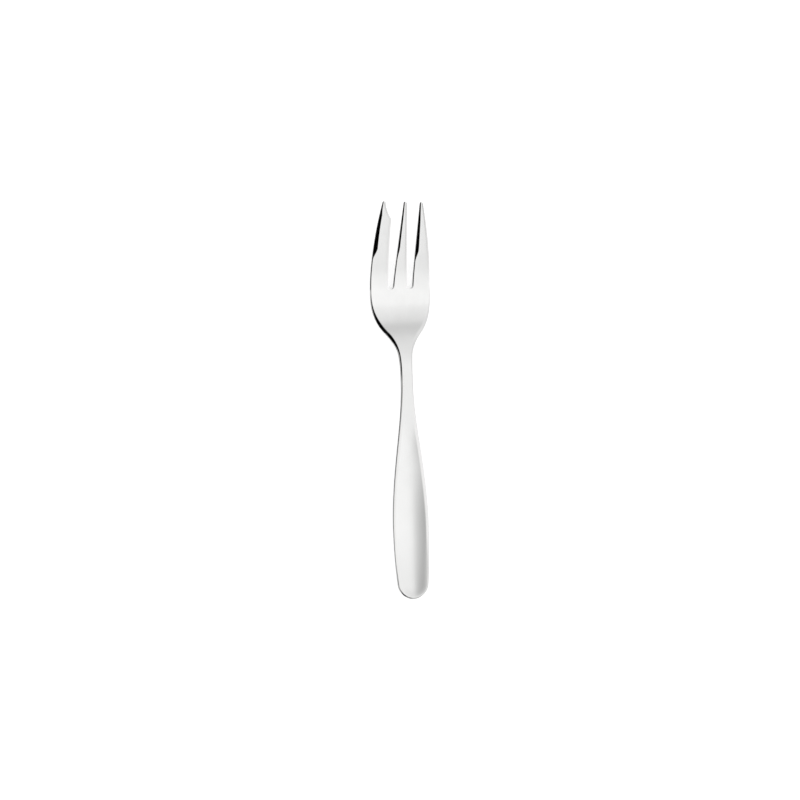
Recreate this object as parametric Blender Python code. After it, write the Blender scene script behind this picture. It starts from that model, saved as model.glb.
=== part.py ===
"""Dessert fork with three tines, pressed from one piece of stainless steel.

The fork lies on a table with its hollow side up, on the underside of its bowl and the heel of its handle.
+Y points to the tips, +X to the right and +Z up. The origin is on the table, under the middle of the fork.
Sizes are in metres and angles in degrees.
"""

import math

import bmesh
import bpy

# Lengths along the fork, one after the other from the handle's end to the tips
END_TO_BELLY = 0.0265
BELLY_TO_WAIST = 0.0270
WAIST_TO_NECK = 0.0276
NECK_TO_THROAT = 0.01063
THROAT_TO_SHOULDER = 0.00854
SHOULDER_TO_ROOTS = 0.01793
TINE_LENGTH = 0.0314

# Full widths seen from above, and the angles at which the sides pass those places
END_WIDTH = 0.01064
BELLY_WIDTH = 0.01355
WAIST_WIDTH = 0.00953
WAIST_TAPER = 7.17
NECK_WIDTH = 0.00439
THROAT_WIDTH = 0.00515
THROAT_FLARE = 5.95
SHOULDER_WIDTH = 0.01371
SHOULDER_FLARE = 39.15
HEAD_WIDTH = 0.02282
TIP_SPAN = 0.01521
TIP_TAPER = 11.6
END_ROUND_LENGTH = 0.0055

# Tines and slots: places across the fork are measured from its centre line
SLOT_WIDTH = 0.00217
LEFT_SLOT_AT = -0.00361
RIGHT_SLOT_AT = 0.00377
MIDDLE_TIP_AT = 0.00113
TIP_WIDTH = 0.0009
BROAD_TIP_WIDTH = 0.00098
TIP_ROUND_LENGTH = 0.0005
BROAD_TIP_IN = 0.00034
BROAD_TIP_REACH = 0.0004
RIGHT_TIP_REACH = -0.0005
NOTCH_LENGTH = 0.0064
NOTCH_TINE_WIDTH = 0.00480
NOTCH_ROUND = 0.04
NOTCH_HOLLOW = 0.8

# Side view: three straight runs joined by round bends, given by half of each bend's length
HEEL_LENGTH = 0.0220
HEEL_BEND = 0.0180
NECK_TO_ARCH = 0.0111
ARCH_BEND = 0.0100
SHOULDER_ANGLE = 25.3
BOWL_TO_ROOTS = 0.0046
BOWL_BEND = 0.0110
TINE_ANGLE = 27.2
REST_FLAT_DEPTH = 0.00012

# Thickness at the edge, before the edge is rounded
END_THICKNESS = 0.0013
NECK_THICKNESS = 0.0022
BOWL_THICKNESS = 0.0016
TIP_THICKNESS = 0.0011

# Crown of the underside and hollow of the upper side, both from edge to centre line
HANDLE_CROWN = 0.0005
NECK_CROWN = 0.0003
BOWL_CROWN = 0.0004
TIP_CROWN = 0.0002
END_HOLLOW = 0.00068
BELLY_HOLLOW = 0.00066
WAIST_HOLLOW = 0.00019
BOWL_HOLLOW = 0.0001
TIP_HOLLOW = 0.00005
HOLLOW_RUN_OUT = 0.0045
HOLLOW_FADE = 0.0150
RIM_WIDTH = 0.0009
END_RIM = 0.0009
END_CREASE = 0.6
BELLY_CREASE = 0.05

# Rounded edges, and the long bevels ground on both sides of each tine
END_EDGE = 0.0004
END_EDGE_LENGTH = 0.0165
HANDLE_EDGE = 0.0003
NECK_EDGE = 0.00035
THROAT_EDGE = 0.00055
SHOULDER_EDGE = 0.0015
SHOULDER_EDGE_LENGTH = 0.0128
TINE_EDGE = 0.0003
UNDER_EDGE = 0.0008
BROAD_BEVEL_WIDTH = 0.00165
MIDDLE_BEVEL_WIDTH = 0.00075
RIGHT_BEVEL_WIDTH = 0.00125
BEVEL_ANGLE = 35.0
BEVEL_LENGTH = 0.0170
BEVEL_AT_TIP = 0.25
RIGHT_BEVEL_MORE = 0.0012
BEVEL_START = 0.0046

# Roundness of an edge's curve: 2 is a circle and 1 a flat bevel
ROUND_EDGE = 2.0
FLATTER_EDGE = 1.35
BEVELLED_EDGE = 1.15

# The most of the steel that an edge may take: of the half width, of the thickness, and of what is left under it
EDGE_SHARE_OF_WIDTH = 0.6
UPPER_EDGE_SHARE = 0.6
UNDER_EDGE_SHARE = 0.75

# How finely the surface is divided
TINE_CELLS = (4, 4, 4)
SLOT_CELLS = 4
END_ROWS = 3
HANDLE_ROWS = (4, 5, 6)
HEAD_ROWS = (4, 5, 9)
TINE_ROWS = (6, 3, 5, 6)
EDGE_STEPS = 3
FADE_ROWS = 5
END_ARC_ANGLE = 50.0
SHARP_ANGLE = 35.0
RIM_SHARE_AT_NECK = 0.3

STEEL_COLOUR = (0.78, 0.78, 0.77, 1.0)
STEEL_ROUGHNESS = 0.14

# Places along the fork, measured from the handle's end
BELLY_AT = END_TO_BELLY
WAIST_AT = BELLY_AT + BELLY_TO_WAIST
NECK_AT = WAIST_AT + WAIST_TO_NECK
THROAT_AT = NECK_AT + NECK_TO_THROAT
SHOULDER_AT = THROAT_AT + THROAT_TO_SHOULDER
ROOTS_AT = SHOULDER_AT + SHOULDER_TO_ROOTS
TIPS_AT = ROOTS_AT + TINE_LENGTH
BEVEL_FULL_AT = TIPS_AT - BEVEL_LENGTH
BEVEL_START_AT = BEVEL_FULL_AT - BEVEL_START
NOTCH_AT = TIPS_AT - NOTCH_LENGTH
TIP_ROUNDS_AT = TIPS_AT - TIP_ROUND_LENGTH
MIDDLE_AT = (TIPS_AT + BROAD_TIP_REACH) / 2

# Columns of the surface from left to right: tine, slot, tine, slot, tine
COLUMN_CELLS = (TINE_CELLS[0], SLOT_CELLS, TINE_CELLS[1], SLOT_CELLS, TINE_CELLS[2])
COLUMN_STARTS = [sum(COLUMN_CELLS[:i]) for i in range(len(COLUMN_CELLS) + 1)]
LAST_COLUMN = COLUMN_STARTS[-1]
TINE_COLUMNS = [(COLUMN_STARTS[i], COLUMN_STARTS[i + 1]) for i in (0, 2, 4)]
SLOT_COLUMNS = [(COLUMN_STARTS[i], COLUMN_STARTS[i + 1]) for i in (1, 3)]
SLOTS_AT = (LEFT_SLOT_AT, RIGHT_SLOT_AT)
TIP_REACHES = (BROAD_TIP_REACH, 0.0, RIGHT_TIP_REACH)
BEVEL_WIDTHS = (BROAD_BEVEL_WIDTH, MIDDLE_BEVEL_WIDTH, RIGHT_BEVEL_WIDTH)
ROOT_ROW = END_ROWS + sum(HANDLE_ROWS) + sum(HEAD_ROWS)
TIP_ROW = ROOT_ROW + sum(TINE_ROWS)


def mix(a, b, share):
    return a + (b - a) * share


def eased(share):
    share = min(max(share, 0.0), 1.0)
    return share * share * (3 - 2 * share)


def curve_through(stations, along):
    """A smooth curve through (place, value, slope) stations, read at one place."""
    for (start, a, slope_a), (end, b, slope_b) in zip(stations, stations[1:]):
        if along <= end or end == stations[-1][0]:
            span = end - start
            t = (along - start) / span
            leave = slope_a * span * t * (1 - t) ** 2
            arrive = slope_b * span * t * t * (t - 1)
            return mix(a, b, t * t * (3 - 2 * t)) + leave + arrive


def level_through(stations, along):
    """As curve_through, level at each (place, value) station and constant past the ends."""
    along = min(max(along, stations[0][0]), stations[-1][0])
    return curve_through([(place, value, 0.0) for place, value in stations], along)


def bend(along, half_length):
    """0 before a bend and the distance past it after, with a parabola between."""
    if along <= -half_length:
        return 0.0
    if along >= half_length:
        return along
    return (along + half_length) ** 2 / (4 * half_length)


def side_half_width(along):
    """Half of the width between the fork's long sides, leaving the rounded end out."""
    return curve_through(
        (
            (0.0, END_WIDTH / 2, (BELLY_WIDTH - END_WIDTH) / END_TO_BELLY),
            (BELLY_AT, BELLY_WIDTH / 2, 0.0),
            (WAIST_AT, WAIST_WIDTH / 2, -math.tan(math.radians(WAIST_TAPER))),
            (NECK_AT, NECK_WIDTH / 2, 0.0),
            (THROAT_AT, THROAT_WIDTH / 2, math.tan(math.radians(THROAT_FLARE))),
            (SHOULDER_AT, SHOULDER_WIDTH / 2, math.tan(math.radians(SHOULDER_FLARE))),
            (ROOTS_AT, HEAD_WIDTH / 2, 0.0),
            (TIPS_AT, TIP_SPAN / 2, -math.tan(math.radians(TIP_TAPER))),
        ),
        along,
    )


def half_width(along):
    """Half of the fork's width, with the rounded end of the handle."""
    past_end = max(1 - along / END_ROUND_LENGTH, 0.0)
    return side_half_width(along) * math.sqrt(1 - past_end**2)


def tine_sides(tine, along):
    """The x of a tine's left and right side."""
    past_root = (along - ROOTS_AT) / TINE_LENGTH
    left_slot = [LEFT_SLOT_AT + side * SLOT_WIDTH / 2 for side in (-1, 1)]
    right_slot = [RIGHT_SLOT_AT + side * SLOT_WIDTH / 2 for side in (-1, 1)]
    if tine == 0:
        return BROAD_TIP_IN * past_root**6 - side_half_width(along), notched_side(along, left_slot[0])
    if tine == 1:
        left = mix(left_slot[1], MIDDLE_TIP_AT - TIP_WIDTH / 2, past_root)
        return left, mix(right_slot[0], MIDDLE_TIP_AT + TIP_WIDTH / 2, past_root)
    return mix(right_slot[1], TIP_SPAN / 2 - TIP_WIDTH, past_root), side_half_width(along)


def notched_side(along, root):
    """The broad tine's inner side: it swings out to the notch's shoulder, then falls in to the tip."""
    shoulder = NOTCH_TINE_WIDTH - side_half_width(NOTCH_AT)
    if along <= NOTCH_AT:
        return mix(root, shoulder, ((along - ROOTS_AT) / (NOTCH_AT - ROOTS_AT)) ** 3)
    past_shoulder = (along - NOTCH_AT) / NOTCH_LENGTH
    past_shoulder = min(math.hypot(past_shoulder, NOTCH_ROUND) - NOTCH_ROUND, 1.0)
    tip = BROAD_TIP_WIDTH + BROAD_TIP_IN - TIP_SPAN / 2
    return mix(shoulder, tip, math.sin(past_shoulder * math.pi / 2) ** NOTCH_HOLLOW)


def underside(along):
    """Height of the underside on the centre line. The heel and the bowl touch the table."""
    fall = math.tan(math.radians(SHOULDER_ANGLE))
    rise = math.tan(math.radians(TINE_ANGLE))
    arch_at = NECK_AT + NECK_TO_ARCH
    bowl_at = ROOTS_AT - BOWL_TO_ROOTS
    bowl_corner = -BOWL_BEND * fall * rise / (fall + rise)
    arch_corner = bowl_corner + fall * (bowl_at - arch_at)
    handle_rise = arch_corner / (arch_at - HEEL_LENGTH)
    return (
        handle_rise * bend(along - HEEL_LENGTH, HEEL_BEND)
        - (handle_rise + fall) * bend(along - arch_at, ARCH_BEND)
        + (fall + rise) * bend(along - bowl_at, BOWL_BEND)
    )


def edge_thickness(along):
    return level_through(
        (
            (0.0, END_THICKNESS),
            (NECK_AT, NECK_THICKNESS),
            (ROOTS_AT, BOWL_THICKNESS),
            (TIPS_AT, TIP_THICKNESS),
        ),
        along,
    )


def crown(along):
    return level_through(
        (
            (WAIST_AT, HANDLE_CROWN),
            (NECK_AT, NECK_CROWN),
            (THROAT_AT, NECK_CROWN),
            (ROOTS_AT, BOWL_CROWN),
            (TIPS_AT, TIP_CROWN),
        ),
        along,
    )


def hollow(across, along):
    """Depth of the upper side's hollow. It ends in a round at the handle's end and runs out past the waist."""
    depth = level_through(
        (
            (0.0, END_HOLLOW),
            (BELLY_AT, BELLY_HOLLOW),
            (WAIST_AT, WAIST_HOLLOW),
            (WAIST_AT + HOLLOW_FADE, 0.0),
            (THROAT_AT, 0.0),
            (ROOTS_AT, BOWL_HOLLOW),
            (TIPS_AT, TIP_HOLLOW),
        ),
        along,
    )
    half = side_half_width(along) - edge_size(along) - rim_width(along)
    before_end = max(1 - (along - END_RIM) / HOLLOW_RUN_OUT, 0.0)
    inside = 1 - (across / half) ** 2 - before_end**2
    crease = level_through(((0.0, END_CREASE), (BELLY_AT, BELLY_CREASE)), along)
    return depth * (inside + math.hypot(inside, crease)) / 2


def rim_width(along):
    """Width of the flat rim round the handle's hollow. The bowl has none."""
    return level_through(((NECK_AT, RIM_WIDTH), (THROAT_AT, 0.0)), along)


def lower_height(across, along):
    height = underside(along) + crown(along) * (across / side_half_width(along)) ** 2
    return max(height - REST_FLAT_DEPTH, 0.0)


def upper_height(across, along):
    return underside(along) + crown(along) + edge_thickness(along) - hollow(across, along)


def edge_size(along):
    """Radius of the upper edge, leaving the bevels out."""
    return level_through(
        (
            (0.0, END_EDGE),
            (END_EDGE_LENGTH, HANDLE_EDGE),
            (WAIST_AT, HANDLE_EDGE),
            (NECK_AT, NECK_EDGE),
            (THROAT_AT, THROAT_EDGE),
            (SHOULDER_AT, SHOULDER_EDGE),
            (SHOULDER_AT + SHOULDER_EDGE_LENGTH, TINE_EDGE),
        ),
        along,
    )


def edge_roundness(along):
    """Roundness of the upper edge, which is closer to a bevel at the handle's end and the shoulders."""
    return level_through(
        (
            (0.0, FLATTER_EDGE),
            (END_EDGE_LENGTH, ROUND_EDGE),
            (THROAT_AT, ROUND_EDGE),
            (SHOULDER_AT, FLATTER_EDGE),
            (SHOULDER_AT + SHOULDER_EDGE_LENGTH, ROUND_EDGE),
        ),
        along,
    )


def bevel_share(tine, along):
    """How far a tine's bevels have begun, and their share of their greatest width."""
    more = RIGHT_BEVEL_MORE if tine == 2 else 0.0
    begun = eased((along + more - BEVEL_START_AT) / BEVEL_START)
    to_tip = min((TIPS_AT - along) / BEVEL_LENGTH, 1.0)
    return begun, mix(BEVEL_AT_TIP, 1.0, to_tip)


def spaced(start, end, count):
    return [mix(start, end, (i + 1) / count) for i in range(count)]


def row_places():
    """The place along the fork of every row but the first, which is the rounded end itself."""
    corner = END_ROUND_LENGTH * (1 - math.cos(math.radians(END_ARC_ANGLE)))
    runs = (
        (END_ROUND_LENGTH, END_ROWS),
        (BELLY_AT, HANDLE_ROWS[0]),
        (WAIST_AT, HANDLE_ROWS[1]),
        (NECK_AT, HANDLE_ROWS[2]),
        (THROAT_AT, HEAD_ROWS[0]),
        (SHOULDER_AT, HEAD_ROWS[1]),
        (ROOTS_AT, HEAD_ROWS[2]),
        (BEVEL_START_AT, TINE_ROWS[0]),
        (BEVEL_FULL_AT, TINE_ROWS[1]),
        (NOTCH_AT, TINE_ROWS[2]),
        (TIP_ROUNDS_AT, TINE_ROWS[3]),
    )
    places = [corner]
    for end, count in runs:
        places += spaced(places[-1], end, count)
    return places


ROW_PLACES = row_places()


def tine_of(column):
    for tine, (first, last) in enumerate(TINE_COLUMNS):
        if first <= column <= last:
            return tine
    return None


def outline_keys():
    """(row, column) of the points round the outline, clockwise from the left end of the first row."""
    keys = [(row, 0) for row in range(ROOT_ROW)]
    for tine, (first, last) in enumerate(TINE_COLUMNS):
        keys += [(row, first) for row in range(ROOT_ROW, TIP_ROW)]
        keys += [(TIP_ROW, column) for column in range(first, last + 1)]
        keys += [(row, last) for row in range(TIP_ROW - 1, ROOT_ROW - 1, -1)]
        if tine < len(SLOT_COLUMNS):
            start, end = SLOT_COLUMNS[tine]
            keys += [(ROOT_ROW, column) for column in range(start + 1, end)]
    keys += [(row, LAST_COLUMN) for row in range(ROOT_ROW - 1, 0, -1)]
    keys += [(0, column) for column in range(LAST_COLUMN, 0, -1)]
    return keys


def outline_point(row, column):
    """The outline's point at a key, as (across, along)."""
    if row == 0:
        angle = math.radians(END_ARC_ANGLE) * (2 * column / LAST_COLUMN - 1)
        along = END_ROUND_LENGTH * (1 - math.cos(angle))
        return side_half_width(along) * math.sin(angle), along
    along = ROW_PLACES[row]
    if row < ROOT_ROW:
        return half_width(along) * (1 if column else -1), along
    if row == ROOT_ROW and 0 < column < LAST_COLUMN:
        return slot_end_point(column)
    tine = tine_of(column)
    left, right = tine_sides(tine, along)
    first, last = TINE_COLUMNS[tine]
    reached = along + TIP_REACHES[tine] * ((along - ROOTS_AT) / (TIP_ROUNDS_AT - ROOTS_AT)) ** 2
    if row < TIP_ROW:
        return mix(left, right, (column - first) / (last - first)), reached
    turn = math.pi * (column - first) / (last - first)
    across = mix(left, right, (1 - math.cos(turn)) / 2)
    return across, reached + TIP_ROUND_LENGTH * math.sin(turn)


def slot_end_point(column):
    for slot, (start, end) in enumerate(SLOT_COLUMNS):
        if start <= column <= end:
            turn = math.pi * (column - start) / (end - start)
            radius = SLOT_WIDTH / 2
            return SLOTS_AT[slot] - radius * math.cos(turn), ROOTS_AT - radius * math.sin(turn)


def edge_of(row, column, along, upper):
    """(width, height, roundness) of the edge's curve at a key."""
    room = half_width(along) if 0 < row <= ROOT_ROW else side_half_width(along)
    if row > ROOT_ROW:
        left, right = tine_sides(tine_of(column), along)
        room = (right - left) / 2
    thickness = edge_thickness(along)
    if upper:
        width, height, roundness = upper_edge(row, column, along)
        most = UPPER_EDGE_SHARE * thickness
    else:
        width = height = UNDER_EDGE
        roundness = ROUND_EDGE
        most = UNDER_EDGE_SHARE * (thickness - edge_of(row, column, along, True)[1])
    return min(width, EDGE_SHARE_OF_WIDTH * room), min(height, most), roundness


def upper_edge(row, column, along):
    """(width, height, roundness) that the upper edge would have on a fork wide and thick enough."""
    width = edge_size(along)
    if row <= ROOT_ROW:
        return width, width, edge_roundness(along)
    tine = tine_of(column)
    begun, size = bevel_share(tine, along)
    bevel = mix(width, BEVEL_WIDTHS[tine], size)
    height = bevel * math.tan(math.radians(BEVEL_ANGLE))
    return mix(width, bevel, begun), mix(width, height, begun), mix(ROUND_EDGE, BEVELLED_EDGE, begun)


class Sheet:
    """The upper or the lower side: a grid of points inside the rounded edges."""

    def __init__(self, upper, keys, outline, normals):
        self.upper = upper
        self.edges = {}
        self.points = {}
        for key in keys:
            (across, along), (out_x, out_y) = outline[key], normals[key]
            width, height, roundness = edge_of(*key, along, upper)
            self.edges[key] = width, height, roundness
            self.points[key] = across - out_x * width, along - out_y * width
        for row in range(1, ROOT_ROW):
            self.fill_body_row(row)
        for row in range(ROOT_ROW, TIP_ROW):
            self.fill_tine_row(row)

    def fill_tine_row(self, row):
        for first, last in TINE_COLUMNS:
            left, right = self.points[row, first], self.points[row, last]
            for column in range(first + 1, last):
                share = (column - first) / (last - first)
                self.points[row, column] = tuple(mix(a, b, share) for a, b in zip(left, right))

    def fill_body_row(self, row):
        """Columns keep to the handle's rim, and gather at the slots as they come near the roots."""
        half, along = self.points[row, LAST_COLUMN]
        near_end = max(1 - row / FADE_ROWS, 0.0) ** 2
        near_roots = max(1 - (ROOT_ROW - row) / FADE_ROWS, 0.0) ** 2
        to_head = eased((along - NECK_AT) / (ROOTS_AT - NECK_AT))
        rim = min(RIM_WIDTH / half, RIM_SHARE_AT_NECK)
        end_half, end_along = self.points[0, LAST_COLUMN]
        for column in range(1, LAST_COLUMN):
            inner = (2 * (column - 1) / (LAST_COLUMN - 2) - 1) * (1 - rim)
            end_x, end_y = self.points[0, column]
            root_x, root_y = self.root_point(column)
            share = mix(mix(inner, end_x / end_half, near_end), root_x, to_head)
            y = along + (end_y - end_along) * near_end + root_y * near_roots
            self.points[row, column] = share * half, y

    def root_point(self, column):
        """Share of the half width, and dip below the row, of a column at the slots' roots."""
        half, along = self.points[ROOT_ROW, LAST_COLUMN]
        tine = tine_of(column)
        if tine is None:
            x, y = self.points[ROOT_ROW, column]
            return x / half, y - along
        first, last = TINE_COLUMNS[tine]
        left, right = self.points[ROOT_ROW, first], self.points[ROOT_ROW, last]
        return mix(left[0], right[0], (column - first) / (last - first)) / half, 0.0

    def height(self, point):
        return upper_height(*point) if self.upper else lower_height(*point)

    def edge_curve(self, key, normal):
        """Points of the rounded edge at a key, from the sheet out to the side wall."""
        width, height, roundness = self.edges[key]
        x, y = self.points[key]
        z = self.height((x, y))
        down = -1 if self.upper else 1
        curve = []
        for step in range(1, EDGE_STEPS + 1):
            turn = step / EDGE_STEPS * math.pi / 2
            out = width * math.sin(turn) ** (2 / roundness)
            fall = height * (1 - abs(math.cos(turn)) ** (2 / roundness))
            curve.append((x + normal[0] * out, y + normal[1] * out, z + down * fall))
        return curve


def outline_normals(keys, outline):
    """The direction out of the steel at each point of the outline."""
    normals = {}
    for i, key in enumerate(keys):
        before = outline[keys[i - 1]]
        after = outline[keys[(i + 1) % len(keys)]]
        step_x, step_y = after[0] - before[0], after[1] - before[1]
        length = math.hypot(step_x, step_y)
        normals[key] = -step_y / length, step_x / length
    return normals


def add_sheet(mesh, sheet):
    """Adds a sheet's points and faces, and returns its vertices by key."""
    vertices = {}
    for key, (x, y) in sheet.points.items():
        vertices[key] = mesh.verts.new((x, y - MIDDLE_AT, sheet.height((x, y))))
    for row in range(TIP_ROW):
        for column in range(LAST_COLUMN):
            in_slot = any(start <= column < end for start, end in SLOT_COLUMNS)
            if row >= ROOT_ROW and in_slot:
                continue
            corners = [(row, column), (row, column + 1), (row + 1, column + 1), (row + 1, column)]
            face = [vertices[key] for key in corners]
            mesh.faces.new(face if sheet.upper else face[::-1])
    return vertices


def add_edge(mesh, keys, normals, upper, lower, upper_vertices, lower_vertices):
    """Joins the two sheets all round by their rounded edges and the side wall between."""
    columns = []
    for key in keys:
        points = upper.edge_curve(key, normals[key]) + lower.edge_curve(key, normals[key])[::-1]
        wall = [mesh.verts.new((x, y - MIDDLE_AT, z)) for x, y, z in points]
        columns.append([upper_vertices[key], *wall, lower_vertices[key]])
    for here, following in zip(columns, columns[1:] + columns[:1]):
        for i in range(len(here) - 1):
            mesh.faces.new((here[i], following[i], following[i + 1], here[i + 1]))


def polished_steel():
    material = bpy.data.materials.new("polished_steel")
    material.use_nodes = True
    shader = material.node_tree.nodes["Principled BSDF"]
    shader.inputs["Base Color"].default_value = STEEL_COLOUR
    shader.inputs["Metallic"].default_value = 1.0
    shader.inputs["Roughness"].default_value = STEEL_ROUGHNESS
    return material


def make_fork():
    keys = outline_keys()
    outline = {key: outline_point(*key) for key in keys}
    normals = outline_normals(keys, outline)
    upper = Sheet(True, keys, outline, normals)
    lower = Sheet(False, keys, outline, normals)
    mesh = bmesh.new()
    upper_vertices = add_sheet(mesh, upper)
    lower_vertices = add_sheet(mesh, lower)
    add_edge(mesh, keys, normals, upper, lower, upper_vertices, lower_vertices)
    data = bpy.data.meshes.new("fork")
    mesh.to_mesh(data)
    mesh.free()
    data.shade_smooth()
    data.set_sharp_from_angle(angle=math.radians(SHARP_ANGLE))
    data.materials.append(polished_steel())
    bpy.context.scene.collection.objects.link(bpy.data.objects.new("fork", data))


def main():
    for thing in list(bpy.data.objects):
        bpy.data.objects.remove(thing, do_unlink=True)
    make_fork()


main()
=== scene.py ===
"""Dresses a packed dessert fork with its fine pressed surface, polished steel and a white studio.

The fork lies on a table with its hollow side up, on the underside of its bowl and the heel of its handle.
+Y points to the tips, +X to the right and +Z up. Lengths are in metres.
"""

import math
from functools import partial

import bmesh
import bpy
from bpy.props import FloatProperty, FloatVectorProperty, PointerProperty
from mathutils import Matrix, Vector


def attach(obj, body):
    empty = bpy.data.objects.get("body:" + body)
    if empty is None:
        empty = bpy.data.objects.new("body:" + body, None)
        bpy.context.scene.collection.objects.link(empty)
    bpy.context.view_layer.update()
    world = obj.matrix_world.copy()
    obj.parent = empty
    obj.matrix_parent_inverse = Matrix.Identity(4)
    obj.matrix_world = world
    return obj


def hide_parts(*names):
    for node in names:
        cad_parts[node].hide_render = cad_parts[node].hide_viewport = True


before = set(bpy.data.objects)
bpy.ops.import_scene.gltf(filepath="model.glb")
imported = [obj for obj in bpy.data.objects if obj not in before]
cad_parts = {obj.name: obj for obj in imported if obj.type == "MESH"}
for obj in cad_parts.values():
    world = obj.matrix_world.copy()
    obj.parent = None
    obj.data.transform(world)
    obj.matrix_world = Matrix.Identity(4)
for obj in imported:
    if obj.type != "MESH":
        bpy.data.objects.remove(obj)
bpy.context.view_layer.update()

bl_info = {
    "name": "Dessert Fork",
    "version": (1, 0, 0),
    "blender": (4, 5, 0),
    "location": "3D View > Sidebar > Fork",
    "description": "Presses a three-tined dessert fork from polished steel in a white studio",
    "category": "Add Mesh",
}

# Cells across each tine, slot and rim, and the first and last columns of the tines
TINE_CELLS = 14
SLOT_CELLS = 10
RIM_CELLS = 5
TINE_PITCH = TINE_CELLS + SLOT_CELLS
TINE_COLUMNS = [(tine * TINE_PITCH, tine * TINE_PITCH + TINE_CELLS) for tine in range(3)]
LAST_COLUMN = TINE_COLUMNS[-1][1]

# Cells round the upper and the lower edge
UPPER_EDGE_STEPS = 9
UNDER_EDGE_STEPS = 6

# Length of the cells along the fork, where its shape changes fast and where it runs on
FINE_CELL = 0.0002
SHORT_CELL = 0.00035
LONG_CELL = 0.0006

# Half of the arc that the first row follows, and how far fine rows go for the length of the rounded end
END_ARC = math.radians(50.0)
FINE_END = 1.4

# Distances over which rows straighten from the rounded end, and bend round the ends of the slots
END_FADE = 0.0120
ROOT_FADE = 0.0060

# Shares: a tine's outermost cells, the rim at most, and how far cells gather at the rim
NARROW_CELL = 0.025
RIM_SHARE_AT_NECK = 0.3
GATHERING = 0.6

# Roundness of an edge's curve: 2 is a circle and 1 a flat bevel
ROUND_EDGE = 2.0
BEVELLED_EDGE = 1.06

# The most that an edge takes of the half width, of the thickness, and of what the upper edge leaves of it
EDGE_SHARE_OF_WIDTH = 0.6
UPPER_EDGE_SHARE = 0.6
UNDER_EDGE_SHARE = 0.75

# Powers of three curves: the broad tip's turn in, its inner side out to the notch, and the tines' dish
TIP_POWER = 6
NOTCH_POWER = 3
DISH_POWER = 4

# The press's bends, and what each is given
BENDS = ("Heel", "Arch", "Bowl")
BEND_INPUTS = ("Place", "Half Length", "Slope")


def number(name, description, default, **kind):
    return FloatProperty(name=name, description=description, default=default, **kind)


def numbers(name, description, default, **kind):
    kind["size"] = len(default)
    return FloatVectorProperty(name=name, description=description, default=default, **kind)


def angle(name, description, degrees):
    return number(name, description, math.radians(degrees), unit="ROTATION", subtype="ANGLE")


length = partial(number, precision=5, unit="LENGTH", subtype="DISTANCE")
lengths = partial(numbers, precision=5, unit="LENGTH")
share = partial(number, min=0.0, soft_max=1.0, subtype="FACTOR")
shares = partial(numbers, min=0.0, max=1.0)
colour = partial(numbers, min=0.0, max=1.0, subtype="COLOR")


class ForkOutline(bpy.types.PropertyGroup):
    """Lengths from the handle's end to the tips, and full widths seen from above"""

    end_to_belly: length("End to Belly", "From the handle's end to its widest place", 0.0268)
    belly_to_waist: length("Belly to Waist", "From there to where the handle narrows fastest", 0.0270)
    waist_to_neck: length("Waist to Neck", "From there to the narrowest place", 0.0276)
    neck_to_throat: length("Neck to Throat", "From the neck to where the head begins", 0.01063)
    throat_to_shoulder: length("Throat to Shoulder", "From there to the middle of the shoulders", 0.00854)
    shoulder_to_roots: length("Shoulder to Roots", "From there to the ends of the slots", 0.01793)
    tine_length: length("Tine Length", "From the roots to the tips of the tines", 0.0314)
    end_width: length("End Width", "Width at the handle's end, before it is rounded", 0.01064)
    belly_width: length("Belly Width", "Greatest width of the handle", 0.01355)
    waist_width: length("Waist Width", "Width where the handle narrows fastest", 0.00953)
    waist_taper: angle("Waist Taper", "Angle of each side at the waist", 7.17)
    neck_width: length("Neck Width", "Least width of the fork", 0.00439)
    throat_width: length("Throat Width", "Width where the head begins", 0.00515)
    throat_flare: angle("Throat Flare", "Angle of each side at the throat", 5.95)
    shoulder_width: length("Shoulder Width", "Width at the middle of the shoulders", 0.01371)
    shoulder_flare: angle("Shoulder Flare", "Angle of each side at the shoulders", 39.15)
    head_width: length("Head Width", "Width at the roots of the tines", 0.02282)
    tip_span: length("Tip Span", "Width over the tips of the tines", 0.0156)
    tip_taper: angle("Tip Taper", "Slant of the outer sides at the tips", 11.6)
    end_round: length("End Round", "Length of the handle's rounded end", 0.0055)


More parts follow.
